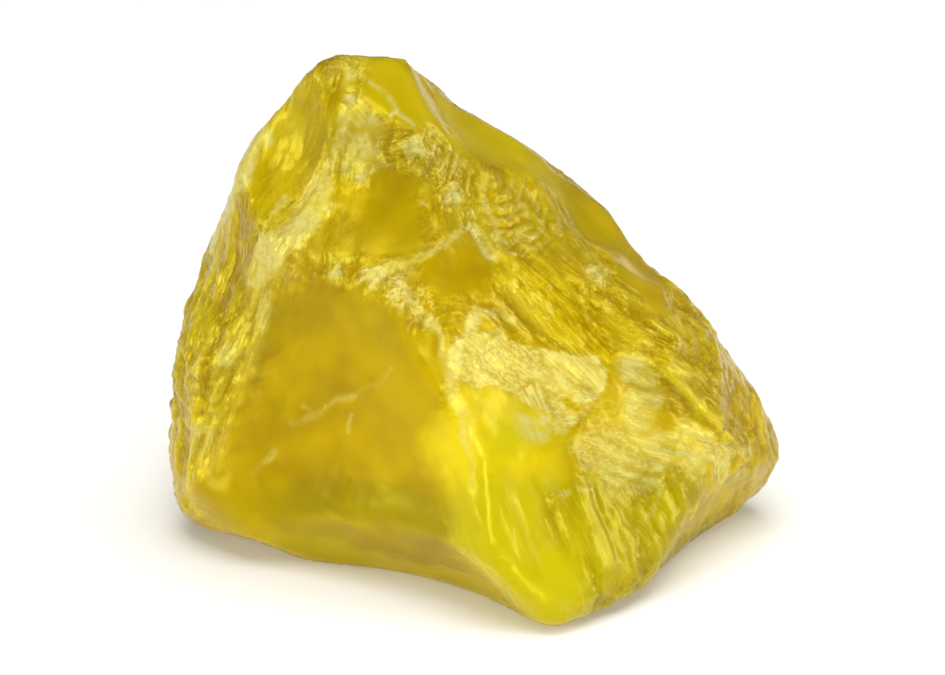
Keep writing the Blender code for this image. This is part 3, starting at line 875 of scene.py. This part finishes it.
    def knobbed(self, points: np.ndarray, normals: np.ndarray) -> tuple[np.ndarray, np.ndarray]:
        """Raises the named knobs.

        Args:
            points: The skin's points.
            normals: Their normals.

        Returns:
            The new points, and how much painted highlight the knobs leave on each.
        """
        waver = wander(points, self.knob_bay, (61.0, 67.0, 73.0)) * self.knob_wander
        lift, frost = np.zeros(len(points)), np.zeros(len(points))
        for knob in KNOBS:
            away = np.linalg.norm(points + waver - np.array(knob.at) * MM, axis=1) / (knob.width * MM / 2)
            rise = np.clip(1.0 - away**2, 0.0, 1.0) ** 1.5
            lift += rise * knob.height * MM
            frost = np.maximum(frost, smoothstep(rise, 0.0, 1.0) * knob.frost)
        return points + normals * lift[:, None], frost

    def faceted(
        self,
        points: np.ndarray,
        normals: np.ndarray,
        skin: SkinMap,
        ends: np.ndarray,
        dice: np.random.Generator,
    ) -> tuple[np.ndarray, np.ndarray, np.ndarray]:
        """Tilts small patches of the skin against each other, as the steps of a fracture.

        Args:
            points: The skin's points.
            normals: Their normals.
            skin: What the skin is like at each.
            ends: The two points of each of the mesh's edges.
            dice: The source of chance.

        Returns:
            How far each point stands off, its place with the lengths along the fibres drawn in, and 1 where
            fibres of unlike run meet.
        """
        lift = np.zeros(len(points))
        strayed = points + wander(points, self.facet_bay, (5.3, 23.9, 71.1)) * self.facet_wander
        grain, seams = points, np.zeros(len(points))
        share = self.clean_facet + (1.0 - self.clean_facet) * skin.crushed
        for count, tilt in zip(self.facet_counts, self.facet_tilts):
            seeds = dice.choice(len(points), count, replace=False)
            tree = kdtree.KDTree(count)
            for place, seed in enumerate(seeds):
                tree.insert(Vector(points[seed]), place)
            tree.balance()
            owner = np.array([tree.find(Vector(point))[1] for point in strayed])
            middle, out = points[seeds][owner], normals[seeds][owner]
            run = skin.ways[seeds][owner]
            along = dice.normal(0.0, 1.0, (count, 3))[owner] + self.facet_run * run
            along = self.laid_flat(along, out)
            lean = np.abs(dice.normal(0.0, tilt, count)) * (dice.random(count) < self.tilted_share)
            side = np.cross(out, along)
            lift += ((points - middle) * side).sum(axis=1) * lean[owner] * share
            if count == self.facet_counts[0]:
                veiled = skin.frosted[seeds][owner] > self.veiled_from
                draw = np.where(veiled, self.veiled_draw, self.fibre_draw)
                grain = points - run * ((points * run).sum(axis=1) * (1.0 - 1.0 / draw))[:, None]
                bent = (run[ends[:, 0]] * run[ends[:, 1]]).sum(axis=1) < self.seam_bend
                bent |= draw[ends[:, 0]] != draw[ends[:, 1]]
                seams[ends[bent].ravel()] = 1.0
        return lift, grain, seams

    def combed(self, points: np.ndarray, ways: np.ndarray, width: float, shift: float) -> np.ndarray:
        """Fine ridges that follow the ways, as a fracture leaves behind it.

        Args:
            points: The skin's points.
            ways: The way that the ridges run at each, flat on the skin.
            width: How wide a ridge is, in metres.
            shift: Where in the noise to read.

        Returns:
            About -1 to 1, highest on the ridges.
        """
        steps = np.arange(-self.hackle_draw / 2, self.hackle_draw / 2 + 0.01, self.hackle_step) * width
        total = sum(drift(points + ways * step, width, shift) for step in steps)
        swing = 0.62 * math.sqrt(len(steps)) * 0.5  # how far a sum of so many goes
        return total / swing

    def dress(self, stone: bpy.types.Object) -> None:
        """Gives the stone its material and its place in the frame.

        Args:
            stone: The stone.
        """
        stone.data.materials.append(self.finish.material())
        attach(stone, "root")
        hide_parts(self.node)


@dataclass(frozen=True)
class PaperFinish:
    """Matt white background paper: pressed wood pulp, even, with no shine."""

    name: str = "background_paper"
    colour_hex: str = "#e6e5e3"
    fibre_width: float = 0.8 * MM
    fibre_height: float = 0.02 * MM
    relief: float = 0.05  # strength of the fibres' relief
    roughness: float = 0.9
    shine: float = 0.1

    def material(self) -> bpy.types.Material:
        """Makes the paper's material.

        Returns:
            A matt white with a faint unevenness of pulp.
        """
        made = bpy.data.materials.new(self.name)
        tree, out = new_tree(made)
        places = add_node(tree, "TexCoord").outputs["Object"]
        fibres = {"Vector": places, "Scale": 1.0 / self.fibre_width}
        pulp = add_node(tree, "TexNoise", None, fibres).outputs["Fac"]
        rise = {"Strength": self.relief, "Distance": self.fibre_height, "Height": pulp}
        normal = add_node(tree, "Bump", None, rise).outputs["Normal"]
        face = {"Base Color": linear(self.colour_hex), "Roughness": self.roughness, "Normal": normal}
        face["Specular IOR Level"] = self.shine
        shader = add_node(tree, "BsdfPrincipled", None, face)
        tree.links.new(shader.outputs["BSDF"], out.inputs["Surface"])
        return made


@dataclass(frozen=True)
class Softbox:
    """A square lamp that faces the stone. Its way is from the stone to the lamp."""

    name: str
    way: tuple[float, float, float]
    distance: float
    side: float
    radiance: float

    def build(self, target: Vector) -> None:
        """Hangs the lamp.

        Args:
            target: What it faces.
        """
        data = bpy.data.lights.new(self.name, "AREA")
        data.shape = "SQUARE"
        data.size = self.side
        data.energy = self.radiance * math.pi * self.side**2
        lamp = bpy.data.objects.new(self.name, data)
        way = Vector(self.way).normalized()
        lamp.location = target + way * self.distance
        lamp.rotation_euler = way.to_track_quat("Z", "Y").to_euler()
        bpy.context.scene.collection.objects.link(lamp)


@dataclass
class Studio:
    """The white paper, the soft lamps and the camera."""

    paper: PaperFinish = field(default_factory=PaperFinish)
    paper_side: float = 3.0
    room_hex: str = "#fffdf6"
    room_back: float = 0.4  # how bright the room is behind the stone, as a share of the front
    room_low: float = 0.54  # how bright it is near the floor
    room_high: float = 0.42  # how bright it is overhead
    room_rise: tuple[float, float] = (-0.05, 0.20)  # sines of the heights between which that changes
    room_depth: tuple[float, float] = (0.1, 0.8)  # the same from the front to the back
    target: Vector = field(default_factory=lambda: Vector((0.0, 0.0, 12.4 * MM)))
    elevation: float = math.radians(26.0)
    distance: float = 275.6 * MM
    lens: float = 198.0
    sensor: float = 36.0
    softboxes: tuple[Softbox, ...] = (
        Softbox("softbox_right", (0.96, -0.12, 0.24), 0.30, 0.15, 6.2),
        Softbox("softbox_left", (-0.86, -0.48, 0.20), 0.34, 0.15, 9.2),
        Softbox("softbox_front", (0.15, -0.95, 0.27), 0.34, 0.12, 10.0),
        Softbox("softbox_top", (0.05, -0.05, 1.00), 0.40, 0.34, 4.6),
    )

    def build(self) -> bpy.types.Object:
        """Lays the paper and sets up room, lamps, camera and the picture's tones.

        Returns:
            The paper.
        """
        mesh = bpy.data.meshes.new("paper")
        half = self.paper_side / 2
        corners = [(-half, -half, 0), (half, -half, 0), (half, half, 0), (-half, half, 0)]
        mesh.from_pydata(corners, [], [(0, 1, 2, 3)])
        paper = bpy.data.objects.new("paper", mesh)
        bpy.context.scene.collection.objects.link(paper)
        mesh.materials.append(self.paper.material())
        self.light_room()
        for softbox in self.softboxes:
            softbox.build(self.target)
        self.hang_camera()
        bpy.context.scene.view_settings.view_transform = "Standard"
        return paper

    def light_room(self) -> None:
        """Makes a soft room that is brightest low down in front of the stone."""
        world = bpy.data.worlds.new("room")
        bpy.context.scene.world = world
        world.use_nodes = True
        tree = world.node_tree
        way = add_node(tree, "TexCoord").outputs["Generated"]
        ways = add_node(tree, "SeparateXYZ", None, {"Vector": way}).outputs
        glow, dimming = (
            add_node(
                tree,
                "MapRange",
                {"interpolation_type": "SMOOTHSTEP"},
                {"Value": way, "From Min": span[0], "From Max": span[1], "To Min": first, "To Max": last},
            ).outputs["Result"]
            for way, span, first, last in (
                (ways["Z"], self.room_rise, self.room_low, self.room_high),
                (ways["Y"], self.room_depth, 1.0, self.room_back),
            )
        )
        strength = add_node(tree, "Math", {"operation": "MULTIPLY"}, {0: glow, 1: dimming}).outputs["Value"]
        room = tree.nodes["Background"]
        room.inputs["Color"].default_value = linear(self.room_hex)
        tree.links.new(strength, room.inputs["Strength"])

    def hang_camera(self) -> None:
        """Sets the camera up in front of the stone, looking down on it."""
        data = bpy.data.cameras.new("camera")
        data.lens = self.lens
        data.sensor_width = self.sensor
        data.clip_start = 10 * MM
        camera = bpy.data.objects.new("camera", data)
        way = Vector((0.0, -math.cos(self.elevation), math.sin(self.elevation)))
        camera.location = self.target + way * self.distance
        camera.rotation_euler = way.to_track_quat("Z", "Y").to_euler()
        bpy.context.scene.collection.objects.link(camera)
        bpy.context.scene.camera = camera


def main() -> None:
    """Builds the stone and its studio."""
    logging.basicConfig(level=logging.INFO, format="%(name)s: %(message)s")
    stone_maker = CitrineStone()
    stone = stone_maker.build()
    stone_maker.dress(stone)
    log.info("%s: %d faces", stone.name, len(stone.data.polygons))
    Studio().build()
    log.info("paper, lamps and camera are set")


if __name__ == "__main__":
    main()
